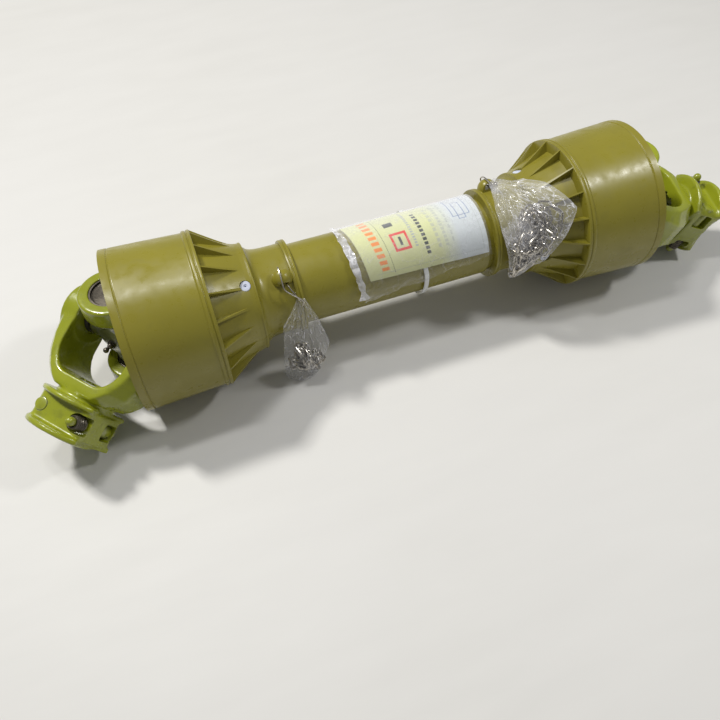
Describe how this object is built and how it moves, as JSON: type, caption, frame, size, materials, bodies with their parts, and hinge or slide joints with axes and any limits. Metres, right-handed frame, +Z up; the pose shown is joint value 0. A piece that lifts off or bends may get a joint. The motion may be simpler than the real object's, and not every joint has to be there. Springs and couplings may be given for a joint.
{
  "type": "universal joint shaft",
  "caption": "Telescopic agricultural drive shaft with a cross joint and splined fork at each end, under a moulded plastic safety guard.",
  "frame": {"origin": "on the surface the shaft lies on, below the middle of its bounding box", "axes": "+X along the shaft from the left cross to the right cross, +Z up from the surface it lies on"},
  "size_m": [0.7576, 0.1754, 0.158],
  "materials": {
    "bright_steel": "machined",
    "clear_film": "clear",
    "green_enamel": "gloss",
    "guard_plastic": "satin",
    "printed_paper": "printed",
    "seal_rubber": "matte",
    "spring_steel": "oiled",
    "tie_plastic": "matte",
    "white_nylon": "matte",
    "zinc_plate": "plated"
  },
  "bodies": {
    "inner_shaft": {"left_tube_yoke": "green_enamel", "left_roll_pin": "spring_steel", "left_tube_bearing_cap_1": "green_enamel", "left_tube_bearing_cap_2": "green_enamel", "left_tube_snap_ring_1": "spring_steel", "left_tube_snap_ring_2": "spring_steel", "left_tube_seal_1": "seal_rubber", "left_tube_seal_2": "seal_rubber", "inner_star_tube": "green_enamel"},
    "outer_shaft": {"right_tube_yoke": "green_enamel", "right_roll_pin": "spring_steel", "right_tube_bearing_cap_1": "green_enamel", "right_tube_bearing_cap_2": "green_enamel", "right_tube_snap_ring_1": "spring_steel", "right_tube_snap_ring_2": "spring_steel", "right_tube_seal_1": "seal_rubber", "right_tube_seal_2": "seal_rubber", "outer_star_tube": "green_enamel"},
    "left_cross": {"left_cross": "bright_steel", "left_grease_nipple": "zinc_plate"},
    "left_end_yoke": {"left_end_yoke": "green_enamel", "left_end_bearing_cap_1": "green_enamel", "left_end_bearing_cap_2": "green_enamel", "left_end_snap_ring_1": "spring_steel", "left_end_snap_ring_2": "spring_steel", "left_end_seal_1": "seal_rubber", "left_end_seal_2": "seal_rubber", "left_pin_spring_1": "spring_steel", "left_pin_spring_2": "spring_steel"},
    "left_push_pin_1": {"left_push_pin_1": "green_enamel"},
    "left_push_pin_2": {"left_push_pin_2": "green_enamel"},
    "right_cross": {"right_cross": "bright_steel", "right_grease_nipple": "zinc_plate"},
    "right_end_yoke": {"right_end_yoke": "green_enamel", "right_end_bearing_cap_1": "green_enamel", "right_end_bearing_cap_2": "green_enamel", "right_end_snap_ring_1": "spring_steel", "right_end_snap_ring_2": "spring_steel", "right_end_seal_1": "seal_rubber", "right_end_seal_2": "seal_rubber", "right_pin_spring_1": "spring_steel", "right_pin_spring_2": "spring_steel"},
    "right_push_pin_1": {"right_push_pin_1": "green_enamel"},
    "right_push_pin_2": {"right_push_pin_2": "green_enamel"},
    "left_guard": {"left_guard_bell": "guard_plastic", "left_guard_bearing_ring": "white_nylon", "outer_guard_tube": "guard_plastic", "manual_booklet": "printed_paper", "cable_tie": "tie_plastic", "left_chain_bag": "clear_film", "left_safety_chain": "zinc_plate", "left_bag_tie": "zinc_plate"},
    "right_guard": {"right_guard_bell": "guard_plastic", "right_guard_bearing_ring": "white_nylon", "inner_guard_tube": "guard_plastic", "right_chain_bag": "clear_film", "right_safety_chain": "zinc_plate", "right_bag_tie": "zinc_plate"}
  },
  "joints": [
    {"name": "shaft_slide", "type": "slide", "parent": "inner_shaft", "child": "outer_shaft", "axis": [1, 0, 0], "range_m": [-0.004, 0.165]},
    {"name": "left_cross_hinge", "type": "hinge", "parent": "inner_shaft", "child": "left_cross", "pos_m": [-0.27277, 0.00874, 0.07903], "axis": [0, -0.0698, -0.9976], "range_deg": [-1, 80]},
    {"name": "left_yoke_hinge", "type": "hinge", "parent": "left_cross", "child": "left_end_yoke", "pos_m": [-0.27277, 0.00874, 0.07903], "axis": [-0.6361, 0.7697, -0.0538], "range_deg": [-1.3, 50.7]},
    {"name": "left_push_pin_1_press", "type": "slide", "parent": "left_end_yoke", "child": "left_push_pin_1", "axis": [-0.3224, -0.2018, 0.9248], "range_m": [0, 0.0075], "stiffness_N_per_m": 2000, "springref_m": -0.004, "deforming": ["left_pin_spring_1"]},
    {"name": "left_push_pin_2_press", "type": "slide", "parent": "left_end_yoke", "child": "left_push_pin_2", "axis": [0.3224, 0.2018, -0.9248], "range_m": [0, 0.0075], "stiffness_N_per_m": 2000, "springref_m": -0.004, "deforming": ["left_pin_spring_2"]},
    {"name": "left_guard_turn", "type": "hinge", "parent": "inner_shaft", "child": "left_guard", "pos_m": [-0.27277, 0.00874, 0.07903], "axis": [1, 0, 0], "continuous": true},
    {"name": "right_cross_hinge", "type": "hinge", "parent": "outer_shaft", "child": "right_cross", "pos_m": [0.26123, 0.00874, 0.07903], "axis": [0, 0.0698, 0.9976], "range_deg": [-27.5, 53.5]},
    {"name": "right_yoke_hinge", "type": "hinge", "parent": "right_cross", "child": "right_end_yoke", "pos_m": [0.26123, 0.00874, 0.07903], "axis": [0.225, 0.972, -0.068], "range_deg": [-49.1, 2.9]},
    {"name": "right_push_pin_1_press", "type": "slide", "parent": "right_end_yoke", "child": "right_push_pin_1", "axis": [-0.3823, 0.0239, -0.9237], "range_m": [0, 0.0075], "stiffness_N_per_m": 2000, "springref_m": -0.004, "deforming": ["right_pin_spring_1"]},
    {"name": "right_push_pin_2_press", "type": "slide", "parent": "right_end_yoke", "child": "right_push_pin_2", "axis": [0.3823, -0.0239, 0.9237], "range_m": [0, 0.0075], "stiffness_N_per_m": 2000, "springref_m": -0.004, "deforming": ["right_pin_spring_2"]},
    {"name": "right_guard_turn", "type": "hinge", "parent": "outer_shaft", "child": "right_guard", "pos_m": [0.26123, 0.00874, 0.07903], "axis": [1, 0, 0], "continuous": true}
  ]
}
